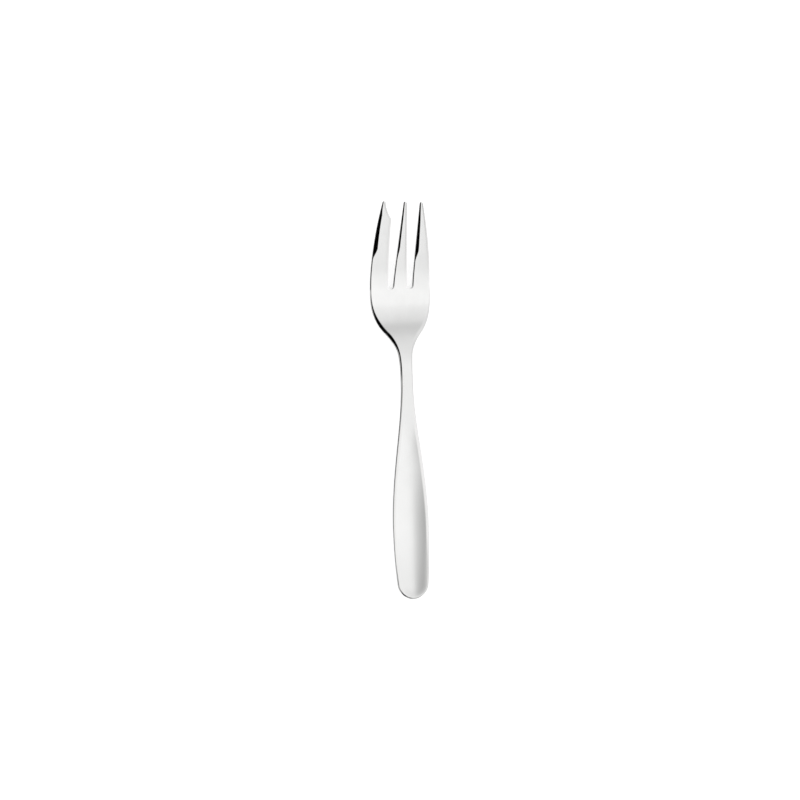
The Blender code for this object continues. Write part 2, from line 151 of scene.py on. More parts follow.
class ForkTines(bpy.types.PropertyGroup):
    """Tines and slots, listed from left to right, and the bevels ground on both sides of each tine"""

    slot_width: length("Slot Width", "Width of both slots at their ends", 0.00217)
    slot_end: share("Slot End", "Depth of the slots' round ends for half of their width", 0.65)
    slots_at: lengths("Slots", "Places of both slots across the fork", (-0.00361, 0.00377))
    middle_tip_at: length("Middle Tip", "Place of the middle tip across the fork", 0.00113)
    tip_width: length("Tip Width", "Width of the middle and right tips", 0.0011)
    broad_tip_width: length("Broad Tip Width", "Width of the broad left tine's tip", 0.00098)
    tip_round: length("Tip Round", "Length of each rounded tip", 0.0005)
    broad_tip_in: length("Broad Tip In", "How far the broad tine's tip is turned in", 0.00034)
    tip_reach: lengths("Tip Reach", "How far each tip reaches past the tine length", (0.0004, 0.0, -0.0004))
    notch_length: length("Notch Length", "From the broad tine's notch to its tip", 0.0064)
    notch_tine_width: length("Width at Notch", "Width of the broad tine at the notch's shoulder", 0.00498)
    notch_round: share("Notch Round", "Roundness of the notch's shoulder", 0.04)
    notch_hollow: share("Notch Hollow", "Fullness of the notch's curve: 1 is a plain round", 0.8)
    bevel: lengths("Bevel", "Greatest width of the bevels of each tine", (0.00165, 0.00075, 0.00125))
    right_hand_bevel: share("Right Hand Bevel", "Width of a right bevel for that of a left one", 0.3)
    bevel_angle: angle("Bevel Angle", "Slant of the bevels", 18.0)
    bevel_length: length("Bevel Length", "From where the bevels are widest to the tips", 0.0167)
    bevel_at_tip: share("Bevel at Tip", "Share of the bevels' width left at the tips", 0.35)
    bevel_start: length("Bevel Start", "Length over which the bevels begin", 0.0046)
    right_bevel_more: length("Right Bevel More", "How much longer the right tine's bevels are", 0.0012)
    dish: length("Tine Dish", "Depth of the shallow dish along each tine", 0.00004)
    dish_start: length("Dish Start", "Length over which it begins at the roots", 0.0090)


class ForkProfile(bpy.types.PropertyGroup):
    """Side view: straight runs joined by round bends, each given by half of its length"""

    heel_length: length("Heel Length", "From the handle's end to the middle of the heel's bend", 0.0220)
    neck_to_arch: length("Neck to Arch", "From the neck to the middle of the arch's bend", 0.0111)
    shoulder_angle: angle("Shoulder Angle", "Slope from the arch down into the bowl", 25.3)
    bowl_to_roots: length("Bowl to Roots", "From the middle of the bowl's bend to the roots", 0.0046)
    half_bends: lengths("Half Bends", "Half of the bends at heel, arch and bowl", (0.018, 0.01, 0.011))
    tine_angle: angle("Tine Angle", "Slope of the tines up to their tips", 27.2)
    rest_flat: length("Rest Flat", "Depth of the flats worn where the fork rests", 0.00012)


class ForkSection(bpy.types.PropertyGroup):
    """Cross section: thickness, crown of the underside, hollow of the upper side, and edges"""

    thickness: lengths(
        "Thickness",
        "Edge thickness at handle's end, neck, roots and tips",
        (0.0013, 0.0022, 0.0016, 0.0011),
    )
    crown: lengths(
        "Crown",
        "Rise of the underside from centre to edge at waist, neck, throat, roots and tips",
        (0.0005, 0.0003, 0.0003, 0.0004, 0.0002),
    )
    hollow: lengths(
        "Hollow",
        "Depth at handle's end, belly, waist, the end of the hollow's fade, throat, roots and tips",
        (0.00068, 0.00066, 0.00019, 0.0, 0.0, 0.0001, 0.00005),
    )
    hollow_run_out: length("Hollow Run-out", "Length of the hollow's round end", 0.0045)
    hollow_fade: length("Hollow Fade", "Length over which the hollow ends past the waist", 0.0150)
    rim_width: length("Rim Width", "Width of the flat rim round the handle's hollow", 0.0009)
    end_rim: length("End Rim", "Width of the rim at the handle's end, with its edge", 0.0009)
    crease: shares("Crease", "Softness of the rim's inner line at handle's end and belly", (0.6, 0.05))
    edge: lengths(
        "Edge",
        "Width of the upper edge at handle's end, past it, at waist, neck, throat, shoulders and tines",
        (0.0004, 0.0002, 0.0002, 0.00035, 0.00055, 0.0013, 0.0003),
    )
    end_edge_length: length("End Edge", "From the handle's end to where its edge is thin", 0.0165)
    end_slant: angle("End Slant", "Slant of the edge at the sides of the handle's end", 27.0)
    end_corner: length("End Corner", "Length over which that slant begins", 0.0014)
    shoulder_edge: length("Shoulder Edge", "From the shoulders to where their edge is thin", 0.0150)
    shoulder_slant: angle("Shoulder Slant", "Slant of the upper edge from neck to shoulders", 37.0)
    slant_fade: length("Slant Fade", "Length of handle over which that slant begins", 0.0130)
    under_edge: lengths("Under Edge", "Radius of the lower edge at roots and notch", (0.0008, 0.0003))


class SteelFinish(bpy.types.PropertyGroup):
    """Polish of the stainless steel"""

    steel: colour("Steel", "Colour of the polished steel", (0.80, 0.80, 0.795))
    hazed_steel: colour("Hazed Steel", "Colour where fine scratches haze the polish", (0.775, 0.775, 0.77))
    polish: share("Polish", "Roughness where the polish is best", 0.10)
    haze: share("Haze", "Roughness where fine scratches haze the polish", 0.17)
    edge_polish: share("Edge Polish", "Roughness of the edges and side walls", 0.05)
    # Wear and worn steel darken the steel's colour along the handle and neck: partly wear from handling,
    # partly painted shade that stands in for darker reflections.
    wear: shares(
        "Wear",
        "How far handling has dulled handle's end, belly, waist, neck, throat and shoulders",
        (0.9, 0.47, 0.47, 0.6, 0.25, 0.0),
    )
    worn_steel: colour("Worn Steel", "Colour where handling has dulled the steel", (0.66, 0.66, 0.655))
    line_depth: length("Line Depth", "Depth of the polishing lines", 0.0000006)
    wave_depth: length("Wave Depth", "Depth of the slow waves left by the buffing wheel", 0.000002)


class Studio(bpy.types.PropertyGroup):
    """White table, light tent and camera"""

    floor: colour("Floor", "Colour of the table", (0.92, 0.92, 0.92))
    floor_glow: share("Floor Glow", "Light through the table from below", 0.60)
    floor_size: length("Floor Size", "Side of the square table", 4.0)
    fill: share("Fill", "Brightness of the light on the table", 0.75)
    tent: share("Tent", "Brightness of the tent that the steel reflects", 1.125)
    lean: angle("View Lean", "How far the camera leans to the left", 9.793)
    pitch: angle("View Pitch", "How far the camera leans towards the handle", 1.754)
    roll: angle("View Roll", "Turn of the picture", 2.635)
    frame_width: length("Frame Width", "Width of the picture at the fork", 0.303361)
    target: lengths("Target", "Middle of the picture from the fork's origin", (-0.001569, 0.00035))
    distance: length("Distance", "From the camera to the fork", 3.0)


class DessertFork(bpy.types.PropertyGroup):
    """All sizes and finishes of the fork and its studio"""

    outline: PointerProperty(type=ForkOutline, name="Outline")
    tines: PointerProperty(type=ForkTines, name="Tines")
    profile: PointerProperty(type=ForkProfile, name="Profile")
    section: PointerProperty(type=ForkSection, name="Section")
    finish: PointerProperty(type=SteelFinish, name="Finish")
    studio: PointerProperty(type=Studio, name="Studio")


def mix(a, b, part):
    return a + (b - a) * part


def eased(part):
    part = min(max(part, 0.0), 1.0)
    return part * part * (3 - 2 * part)


def curve_through(stations, along):
    """A smooth curve through (place, value, slope) stations, read at one place."""
    for (start, a, slope_a), (end, b, slope_b) in zip(stations, stations[1:]):
        if along <= end or end == stations[-1][0]:
            span = end - start
            t = (along - start) / span
            leave = slope_a * span * t * (1 - t) ** 2
            arrive = slope_b * span * t * t * (t - 1)
            return mix(a, b, t * t * (3 - 2 * t)) + leave + arrive


def level_curve(places, values):
    """A function for a smooth curve through values at places, level there and constant past the ends."""
    stations = [(place, value, 0.0) for place, value in zip(places, values)]
    return lambda along: curve_through(stations, min(max(along, places[0]), places[-1]))


class ForkShape:
    """Where the steel is, worked out from the sizes. Places along the fork start at the handle's end."""

    def __init__(self, fork):
        self.outline = fork.outline
        self.tines = fork.tines
        self.section = fork.section
        self.rest_flat = fork.profile.rest_flat
        self.set_places()
        self.set_sides()
        self.set_thickness()
        self.set_edges()
        self.set_wear(fork.finish)

    def set_places(self):
        outline, tines = self.outline, self.tines
        self.belly_at = outline.end_to_belly
        self.waist_at = self.belly_at + outline.belly_to_waist
        self.neck_at = self.waist_at + outline.waist_to_neck
        self.throat_at = self.neck_at + outline.neck_to_throat
        self.shoulder_at = self.throat_at + outline.throat_to_shoulder
        self.roots_at = self.shoulder_at + outline.shoulder_to_roots
        self.tips_at = self.roots_at + outline.tine_length
        self.bevel_full_at = self.tips_at - tines.bevel_length
        self.bevel_start_at = self.bevel_full_at - tines.bevel_start
        self.notch_at = self.tips_at - tines.notch_length
        self.tip_rounds_at = self.tips_at - tines.tip_round
        self.middle_at = (self.tips_at + tines.tip_reach[0]) / 2

    def set_sides(self):
        """Half of the width between the long sides, as (place, value, slope) stations."""
        outline = self.outline
        end_flare = (outline.belly_width - outline.end_width) / outline.end_to_belly
        self.side_stations = (
            (0.0, outline.end_width / 2, end_flare),
            (self.belly_at, outline.belly_width / 2, 0.0),
            (self.waist_at, outline.waist_width / 2, -math.tan(outline.waist_taper)),
            (self.neck_at, outline.neck_width / 2, 0.0),
            (self.throat_at, outline.throat_width / 2, math.tan(outline.throat_flare)),
            (self.shoulder_at, outline.shoulder_width / 2, math.tan(outline.shoulder_flare)),
            (self.roots_at, outline.head_width / 2, 0.0),
            (self.tips_at, outline.tip_span / 2, -math.tan(outline.tip_taper)),
        )

    def set_thickness(self):
        """Thickness at the edges, rise of the underside, depth of the hollow, and the rim round it."""
        section = self.section
        thickness_at = (0.0, self.neck_at, self.roots_at, self.tips_at)
        head_at = (self.throat_at, self.roots_at, self.tips_at)
        crown_at = (self.waist_at, self.neck_at, *head_at)
        hollow_at = (0.0, self.belly_at, self.waist_at, self.waist_at + section.hollow_fade, *head_at)
        self.edge_thickness = level_curve(thickness_at, section.thickness)
        self.crown = level_curve(crown_at, section.crown)
        self.hollow_depth = level_curve(hollow_at, section.hollow)
        self.crease = level_curve((0.0, self.belly_at), section.crease)
        self.rim_width = level_curve((self.neck_at, self.throat_at), (section.rim_width, 0.0))

    def set_edges(self):
        """Width, slope and roundness of the upper edge without bevels, and radius of the lower edge."""
        section = self.section
        thin_at = section.end_edge_length
        slant_at = self.neck_at - section.slant_fade
        shoulder_end = self.shoulder_at + section.shoulder_edge
        slope = math.tan(section.shoulder_slant)
        head_at = (self.neck_at, self.throat_at, self.shoulder_at, shoulder_end)
        self.edge_width = level_curve((0.0, thin_at, self.waist_at, *head_at), section.edge)
        end_slope = math.tan(section.end_slant)
        bevel_slope = math.tan(self.tines.bevel_angle)
        end_at = (0.0, section.end_corner, self.outline.end_round, thin_at / 2, thin_at)
        self.edge_slope = level_curve(
            (*end_at, slant_at, self.neck_at, shoulder_end, self.roots_at),
            (1.0, end_slope, slope, slope, 1.0, 1.0, slope, slope, bevel_slope),
        )
        self.edge_roundness = level_curve(
            (thin_at / 2, thin_at, slant_at, self.neck_at),
            (BEVELLED_EDGE, ROUND_EDGE, ROUND_EDGE, BEVELLED_EDGE),
        )
        self.under_edge = level_curve((self.roots_at, self.notch_at), section.under_edge)

    def set_wear(self, finish):
        """How far the steel's colour is darkened along the fork: partly wear from handling, partly painted
        shade that stands in for darker reflections.
        """
        handle_at = (self.outline.end_round, self.belly_at, self.waist_at)
        head_at = (self.neck_at, self.throat_at, self.shoulder_at)
        self.wear = level_curve(handle_at + head_at, finish.wear)

    def side_half_width(self, along):
        """Half of the width between the long sides, without the rounded end."""
        return curve_through(self.side_stations, along)

    def half_width(self, along):
        """Half of the fork's width, with the handle's rounded end."""
        past_end = max(1 - along / self.outline.end_round, 0.0)
        return self.side_half_width(along) * math.sqrt(1 - past_end**2)

    def tine_sides(self, tine, along):
        """The x of a tine's left and right side."""
        tines = self.tines
        left_slot, right_slot = tines.slots_at
        half_slot = tines.slot_width / 2
        past_root = (along - self.roots_at) / self.outline.tine_length
        if tine == 0:
            left = tines.broad_tip_in * past_root**TIP_POWER - self.side_half_width(along)
            return left, self.notched_side(along, left_slot - half_slot)
        if tine == 1:
            half_tip = tines.tip_width / 2
            left = mix(left_slot + half_slot, tines.middle_tip_at - half_tip, past_root)
            right = mix(right_slot - half_slot, tines.middle_tip_at + half_tip, past_root)
            return left, right
        tip = self.outline.tip_span / 2 - tines.tip_width
        return mix(right_slot + half_slot, tip, past_root), self.side_half_width(along)

    def notched_side(self, along, root):
        """The broad tine's inner side: out to the notch's shoulder, then in to the tip."""
        tines = self.tines
        shoulder = tines.notch_tine_width - self.side_half_width(self.notch_at)
        if along <= self.notch_at:
            past_root = (along - self.roots_at) / (self.notch_at - self.roots_at)
            return mix(root, shoulder, past_root**NOTCH_POWER)
        tip = tines.broad_tip_width + tines.broad_tip_in - self.outline.tip_span / 2
        past_shoulder = (along - self.notch_at) / tines.notch_length
        past_shoulder = min(math.hypot(past_shoulder, tines.notch_round) - tines.notch_round, 1.0)
        return mix(shoulder, tip, math.sin(past_shoulder * math.pi / 2) ** tines.notch_hollow)

    def tip_reach(self, tine, along):
        """How far a place on a tine is drawn out, so that the tips don't end in line."""
        past_root = (along - self.roots_at) / (self.tip_rounds_at - self.roots_at)
        return self.tines.tip_reach[tine] * past_root**2

    def hollow(self, across, along):
        """Depth of the upper side's hollow. It ends in a round at the handle's end."""
        section = self.section
        half = self.side_half_width(along) - self.edge_width(along) - self.rim_width(along)
        before_end = max(1 - (along - section.end_rim) / section.hollow_run_out, 0.0)
        inside = 1 - (across / half) ** 2 - before_end**2
        softened = (inside + math.hypot(inside, self.crease(along))) / 2
        return self.hollow_depth(along) * softened

    def upper_height(self, across, along):
        """Height of the upper side over the centre line of the underside."""
        return self.crown(along) + self.edge_thickness(along) - self.hollow(across, along)

    def lower_height(self, across, along):
        """Height of the lower side over its own centre line."""
        return self.crown(along) * (across / self.side_half_width(along)) ** 2 - self.rest_flat

    def bevel_share(self, tine, along):
        """How far a tine's bevels have begun, and their share of their greatest width."""
        more = self.tines.right_bevel_more if tine == 2 else 0.0
        begun = eased((along + more - self.bevel_start_at) / self.tines.bevel_start)
        to_tip = min((self.tips_at - along) / self.tines.bevel_length, 1.0)
        return begun, mix(self.tines.bevel_at_tip, 1.0, to_tip)


def tine_of(column):
    """The tine at a column, or None between tines."""
    tine, cell = divmod(column, TINE_PITCH)
    return tine if cell <= TINE_CELLS else None


def tine_share(column):
    """Share of a tine's width at a column. Narrow outermost cells keep the bevels' rims crisp."""
    inner = (column % TINE_PITCH - 1) / (TINE_CELLS - 2)
    return min(max(mix(NARROW_CELL, 1 - NARROW_CELL, inner), 0.0), 1.0)


def handle_share(column, rim):
    """Share of the half width at a handle's column: rim, hollow, rim. Cells gather at the rims."""
    if column <= RIM_CELLS:
        return mix(-1.0, rim - 1.0, column / RIM_CELLS)
    if column >= LAST_COLUMN - RIM_CELLS:
        return -handle_share(LAST_COLUMN - column, rim)
    inner = 2 * (column - RIM_CELLS) / (LAST_COLUMN - 2 * RIM_CELLS) - 1
    gathered = 1.5 * inner - 0.5 * inner**3
    return mix(inner, gathered, GATHERING) * (1 - rim)


class Blank:
    """The flat blank's outline: points by (row, column) key, and the way out of the steel at each."""

    def __init__(self, shape):
        self.shape = shape
        self.places = [shape.outline.end_round * (1 - math.cos(END_ARC))]
        self.add_rows(shape.outline.end_round * FINE_END, FINE_CELL)
        self.add_rows(shape.neck_at, LONG_CELL)
        self.add_rows(shape.shoulder_at, SHORT_CELL)
        self.root_row = self.add_rows(shape.roots_at, SHORT_CELL)
        self.add_rows(shape.bevel_start_at, SHORT_CELL)
        self.add_rows(shape.bevel_full_at, FINE_CELL)
        self.add_rows(shape.notch_at, SHORT_CELL)
        self.tip_row = self.add_rows(shape.tip_rounds_at, FINE_CELL)
        self.keys = self.outline_keys()
        self.outline = {key: self.outline_point(*key) for key in self.keys}
        self.normals = {}
        following = self.keys[1:] + self.keys[:1]
        for i, key in enumerate(self.keys):
            step = Vector(self.outline[following[i]]) - Vector(self.outline[self.keys[i - 1]])
            self.normals[key] = Vector((-step.y, step.x)).normalized()

    def add_rows(self, end, cell):
        """Adds rows up to a place, with cells of about a length, and returns the last row."""
        start = self.places[-1]
        count = math.ceil((end - start) / cell)
        self.places += [mix(start, end, (i + 1) / count) for i in range(count)]
        return len(self.places) - 1

    def outline_keys(self):
        """The keys round the outline, clockwise from the left end of the first row."""
        root, tip = self.root_row, self.tip_row
        keys = [(row, 0) for row in range(root)]
        for first, last in TINE_COLUMNS:
            keys += [(row, first) for row in range(root, tip)]
            keys += [(tip, column) for column in range(first, last + 1)]
            keys += [(row, last) for row in range(tip - 1, root - 1, -1)]
            if last < LAST_COLUMN:
                keys += [(root, column) for column in range(last + 1, last + SLOT_CELLS)]
        keys += [(row, LAST_COLUMN) for row in range(root - 1, 0, -1)]
        keys += [(0, column) for column in range(LAST_COLUMN, 0, -1)]
        return keys

    def outline_point(self, row, column):
        """The outline's point at a key, as (across, along)."""
        shape, along = self.shape, self.places[row]
        if row == 0:
            turn = END_ARC * (2 * column / LAST_COLUMN - 1)
            along = shape.outline.end_round * (1 - math.cos(turn))
            return shape.side_half_width(along) * math.sin(turn), along
        if row < self.root_row:
            return shape.half_width(along) * (1 if column else -1), along
        if row == self.root_row and 0 < column < LAST_COLUMN:
            return self.slot_end_point(column)
        tine = tine_of(column)
        left, right = shape.tine_sides(tine, along)
        turn = math.pi * (column % TINE_PITCH) / TINE_CELLS
        along += shape.tip_reach(tine, along)
        if row == self.tip_row:
            along += shape.tines.tip_round * math.sin(turn)
        return mix(left, right, (1 - math.cos(turn)) / 2), along

    def slot_end_point(self, column):
        """The outline's point at a column of a slot's round end."""
        tines = self.shape.tines
        slot, cell = divmod(column - TINE_CELLS, TINE_PITCH)
        turn = math.pi * cell / SLOT_CELLS
        radius = tines.slot_width / 2
        depth = radius * tines.slot_end
        across = tines.slots_at[slot] - radius * math.cos(turn)
        return across, self.shape.roots_at - depth * math.sin(turn)

    def edge_of(self, row, column, along, upper):
        """(width, height, roundness) of the edge's curve at a key."""
        shape = self.shape
        if row > self.root_row:
            left, right = shape.tine_sides(tine_of(column), along)
            room = (right - left) / 2
        else:
            room = shape.half_width(along) if row else shape.side_half_width(along)
        thickness = shape.edge_thickness(along)
        if upper:
            width, height, roundness = self.upper_edge(row, column, along)
            height *= min(EDGE_SHARE_OF_WIDTH * room / width, 1.0)
            most = UPPER_EDGE_SHARE * thickness
        else:
            width = height = shape.under_edge(along)
            roundness = ROUND_EDGE
            most = UNDER_EDGE_SHARE * (thickness - self.edge_of(row, column, along, True)[1])
        return min(width, EDGE_SHARE_OF_WIDTH * room), min(height, most), roundness

    def upper_edge(self, row, column, along):
        """(width, height, roundness) of the upper edge where there is room for all of it."""
        shape, tines = self.shape, self.shape.tines
        width = shape.edge_width(along)
        if row <= self.root_row:
            return width, width * shape.edge_slope(along), shape.edge_roundness(along)
        tine = tine_of(column)
        begun, size = shape.bevel_share(tine, along)
        to_right = column % TINE_PITCH / TINE_CELLS
        bevel = tines.bevel[tine] * mix(1.0, tines.right_hand_bevel, to_right)
        bevel = mix(width, bevel, size)
        width = mix(width, bevel, begun)
        return width, width * math.tan(tines.bevel_angle), BEVELLED_EDGE


class Sheet:
    """The upper or the lower side of the blank: a grid of points inside the rounded edges."""

    def __init__(self, blank, upper):
        self.blank = blank
        self.shape = blank.shape
        self.upper = upper
        self.edges = {}
        self.points = {}
        for key in blank.keys:
            across, along = blank.outline[key]
            out = blank.normals[key]
            self.edges[key] = blank.edge_of(*key, along, upper)
            width = self.edges[key][0]
            self.points[key] = across - out.x * width, along - out.y * width
        for row in range(1, blank.root_row):
            self.fill_body_row(row)
        for row in range(blank.root_row, blank.tip_row):
            self.fill_tine_row(row)

    def fill_tine_row(self, row):
        for first, last in TINE_COLUMNS:
            left, right = self.points[row, first], self.points[row, last]
            for column in range(first + 1, last):
                part = tine_share(column)
                self.points[row, column] = mix(left[0], right[0], part), mix(left[1], right[1], part)

    def fill_body_row(self, row):
        """Columns keep to the handle's rim, and gather at the slots as they come near the roots."""
        shape = self.shape
        half, along = self.points[row, LAST_COLUMN]
        end_half, end_along = self.points[0, LAST_COLUMN]
        near_end = max(1 - (along - end_along) / END_FADE, 0.0) ** 2
        near_roots = max(1 - (shape.roots_at - along) / ROOT_FADE, 0.0) ** 2
        to_head = eased((along - shape.neck_at) / (shape.roots_at - shape.neck_at))
        rim = min(shape.section.rim_width / half, RIM_SHARE_AT_NECK)
        for column in range(1, LAST_COLUMN):
            end_x, end_y = self.points[0, column]
            root_x, root_y = self.root_point(column)
            part = mix(mix(handle_share(column, rim), end_x / end_half, near_end), root_x, to_head)
            y = along + (end_y - end_along) * near_end + root_y * near_roots
            self.points[row, column] = part * half, y

    def root_point(self, column):
        """Share of the half width, and dip below the row, of a column at the slots' roots."""
        row = self.blank.root_row
        half, along = self.points[row, LAST_COLUMN]
        tine = tine_of(column)
        if tine is None:
            x, y = self.points[row, column]
            return x / half, y - along
        left, right = (self.points[row, edge] for edge in TINE_COLUMNS[tine])
        return mix(left[0], right[0], tine_share(column)) / half, 0.0

    def height(self, key):
        point = self.points[key]
        if not self.upper:
            return self.shape.lower_height(*point)
        return self.shape.upper_height(*point) - self.dish(*key)

    def dish(self, row, column):
        """Depth of the shallow dish that polishing leaves along a tine's face."""
        if not self.blank.root_row < row < self.blank.tip_row:
            return 0.0
        tines = self.shape.tines
        from_middle = 2 * tine_share(column) - 1
        start = eased((self.blank.places[row] - self.shape.roots_at) / tines.dish_start)
        return tines.dish * start * (1 - from_middle**DISH_POWER)

    def edge_curve(self, key):
        """(point, share of the turn) along the rounded edge at a key, from the sheet to the side wall."""
        width, height, roundness = self.edges[key]
        out = self.blank.normals[key]
        x, y = self.points[key]
        z = self.height(key)
        steps, down = (UPPER_EDGE_STEPS, -1) if self.upper else (UNDER_EDGE_STEPS, 1)
        for step in range(1, steps + 1):
            turn = step / steps * math.pi / 2
            reach = width * math.sin(turn) ** (2 / roundness)
            fall = height * (1 - abs(math.cos(turn)) ** (2 / roundness))
            yield (x + out.x * reach, y + out.y * reach, z + down * fall), step / steps


class BlankMesh:
    """Builds the blank's mesh. Its edge attribute is 0 on both sheets and 1 on the wall between them."""

    def __init__(self, blank):
        self.blank = blank
        self.mesh = bmesh.new()
        self.edge_layer = self.mesh.verts.layers.float.new("edge")
        # Per-point darkening of the steel's colour along the fork: partly wear, partly painted shade.
        self.wear_layer = self.mesh.verts.layers.float.new("wear")

    def add_point(self, point, edge):
        x, y, z = point
        vertex = self.mesh.verts.new((x, y - self.blank.shape.middle_at, z))
        vertex[self.edge_layer] = edge
        vertex[self.wear_layer] = self.blank.shape.wear(y)
        return vertex

    def add_sheet(self, sheet):
        """Adds a sheet's points and faces, and returns its vertices by key."""
        vertices = {}
        for key, (x, y) in sheet.points.items():
            vertices[key] = self.add_point((x, y, sheet.height(key)), 0.0)
        for row in range(self.blank.tip_row):
            for column in range(LAST_COLUMN):
                if row >= self.blank.root_row and column % TINE_PITCH >= TINE_CELLS:
                    continue
                corners = [(row, column), (row, column + 1), (row + 1, column + 1), (row + 1, column)]
                face = [vertices[key] for key in corners]
                self.mesh.faces.new(face if sheet.upper else face[::-1])
        return vertices

    def build(self):
        upper = Sheet(self.blank, True)
        lower = Sheet(self.blank, False)
        upper_vertices = self.add_sheet(upper)
        lower_vertices = self.add_sheet(lower)
        columns = []
        for key in self.blank.keys:
            fall = [self.add_point(*step) for step in upper.edge_curve(key)]
            rise = [self.add_point(*step) for step in lower.edge_curve(key)]
            columns.append([upper_vertices[key], *fall, *reversed(rise), lower_vertices[key]])
        for here, following in zip(columns, columns[1:] + columns[:1]):
            for i in range(len(here) - 1):
                self.mesh.faces.new((here[i], following[i], following[i + 1], here[i + 1]))
        data = bpy.data.meshes.new("fork_blank")
        self.mesh.to_mesh(data)
        self.mesh.free()
        return data


def add_sockets(tree, inputs, outputs):
    """Gives a node tree its named sockets, from {name: kind}."""
    for in_out, sockets in (("INPUT", inputs), ("OUTPUT", outputs)):
        for name, kind in sockets.items():
            tree.interface.new_socket(name=name, in_out=in_out, socket_type="NodeSocket" + kind)


def feed(tree, socket, value):
    """Links a socket to an output, or sets it to a plain value."""
    if isinstance(value, bpy.types.NodeSocket):
        tree.links.new(value, socket)
    else:
        socket.default_value = value


def add_node(tree, kind, inputs=None, **settings):
    """Adds a node with its settings, and feeds its inputs by name or place."""
    node = tree.nodes.new(kind)
    for name, value in settings.items():
        setattr(node, name, value)
    for name, value in (inputs or {}).items():
        feed(tree, node.inputs[name], value)
    return node


def maths(tree, operation, *values):
    """Adds a math node and returns its output."""
    return add_node(tree, "ShaderNodeMath", dict(enumerate(values)), operation=operation).outputs[0]


def mixed_colour(tree, part, first, second):
    """Mixes two colours by a share and returns the output. Its colour sockets go by place."""
    return add_node(tree, "ShaderNodeMix", {0: part, 6: first, 7: second}, data_type="RGBA").outputs[2]


def mapped(tree, value, start, end, low, high):
    """Maps a value from one range to another, held at its ends, and returns the output."""
    ranges = {"Value": value, "From Min": start, "From Max": end, "To Min": low, "To Max": high}
    return add_node(tree, "ShaderNodeMapRange", ranges).outputs["Result"]


def noise(tree, place, scale, detail):
    """Adds a noise texture and returns its value."""
    inputs = {"Vector": place, "Scale": scale, "Detail": detail}
    return add_node(tree, "ShaderNodeTexNoise", inputs).outputs["Fac"]


def bump(tree, height, depth, **below):
    """Adds bumps of a depth, over the normal of those below, and returns the normal."""
    inputs = {"Height": height, "Distance": depth, "Strength": 1.0} | below
    return add_node(tree, "ShaderNodeBump", inputs).outputs["Normal"]


def bend_group():
    """Node group for one round bend: 0 before it, a parabola in it and a straight slope after it."""
    tree = bpy.data.node_groups.new("Round Bend", "GeometryNodeTree")
    add_sockets(tree, dict.fromkeys(("Along", *BEND_INPUTS), "Float"), {"Height": "Float"})
    given = tree.nodes.new("NodeGroupInput").outputs
    half = given["Half Length"]
    past = maths(tree, "SUBTRACT", given["Along"], given["Place"])
    whole = maths(tree, "MULTIPLY", half, 2.0)
    entered = maths(tree, "MAXIMUM", maths(tree, "ADD", past, half), 0.0)
    in_bend = maths(tree, "MINIMUM", entered, whole)
    square = maths(tree, "MULTIPLY", in_bend, in_bend)
    parabola = maths(tree, "DIVIDE", square, maths(tree, "MULTIPLY", whole, 2.0))
    beyond = maths(tree, "MAXIMUM", maths(tree, "SUBTRACT", past, half), 0.0)
    rise = maths(tree, "ADD", parabola, beyond)
    add_node(tree, "NodeGroupOutput", {"Height": maths(tree, "MULTIPLY", rise, given["Slope"])})
    return tree


def press_tree():
    """Geometry nodes that press the flat blank over its three bends, and flatten where it rests."""
    tree = bpy.data.node_groups.new("Press Fork", "GeometryNodeTree")
    sockets = {"Blank": "Geometry", "Half Length": "Float", "Steel": "Material"}
    sockets |= {f"{bend} {name}": "Float" for bend in BENDS for name in BEND_INPUTS}
    add_sockets(tree, sockets, {"Fork": "Geometry"})
    given = tree.nodes.new("NodeGroupInput").outputs
    place = add_node(tree, "GeometryNodeInputPosition").outputs["Position"]
    parts = add_node(tree, "ShaderNodeSeparateXYZ", {"Vector": place}).outputs
    along = maths(tree, "ADD", parts["Y"], given["Half Length"])
    round_bend = bend_group()
    height = parts["Z"]
    for bend in BENDS:
        inputs = {"Along": along} | {name: given[f"{bend} {name}"] for name in BEND_INPUTS}
        node = add_node(tree, "GeometryNodeGroup", inputs, node_tree=round_bend)
        height = maths(tree, "ADD", height, node.outputs["Height"])
    resting = maths(tree, "MAXIMUM", height, 0.0)
    pressed = add_node(tree, "ShaderNodeCombineXYZ", {"X": parts["X"], "Y": parts["Y"], "Z": resting})
    geometry = given["Blank"]
    for kind, inputs in (
        ("SetPosition", {"Position": pressed.outputs["Vector"]}),
        ("SetShadeSmooth", {}),
        ("RealizeInstances", {}),
        ("SetMaterial", {"Material": given["Steel"]}),
    ):
        node = add_node(tree, "GeometryNode" + kind, inputs | {"Geometry": geometry})
        geometry = node.outputs["Geometry"]
    add_node(tree, "NodeGroupOutput", {"Fork": geometry})
    return tree


def press_values(fork, shape, steel):
    """The press tree's inputs by name. The heel and the bowl touch the table."""
    profile = fork.profile
    heel, arch, bowl = profile.half_bends
    fall = math.tan(profile.shoulder_angle)
    rise = math.tan(profile.tine_angle)
    arch_at = shape.neck_at + profile.neck_to_arch
    bowl_at = shape.roots_at - profile.bowl_to_roots
    bowl_corner = -bowl * fall * rise / (fall + rise)
    arch_corner = bowl_corner + fall * (bowl_at - arch_at)
    handle_rise = arch_corner / (arch_at - profile.heel_length)
    bends = (
        (profile.heel_length, heel, handle_rise),
        (arch_at, arch, -(handle_rise + fall)),
        (bowl_at, bowl, fall + rise),
    )
    values = {"Half Length": shape.middle_at, "Steel": steel}
    for bend, given in zip(BENDS, bends):
        values |= {f"{bend} {name}": value for name, value in zip(BEND_INPUTS, given)}
    return values


def bake_tree(thing, tree, values):
    """Runs a geometry tree on an object and leaves the result as its plain mesh."""
    modifier = thing.modifiers.new(tree.name, "NODES")
    modifier.node_group = tree
    for socket in tree.interface.items_tree:
        if socket.in_out == "INPUT" and socket.name in values:
            modifier[socket.identifier] = values[socket.name]
    finished = thing.evaluated_get(bpy.context.evaluated_depsgraph_get())
    mesh = bpy.data.meshes.new_from_object(finished)
    thing.modifiers.remove(modifier)
    thing.data = mesh
    mesh.name = thing.name


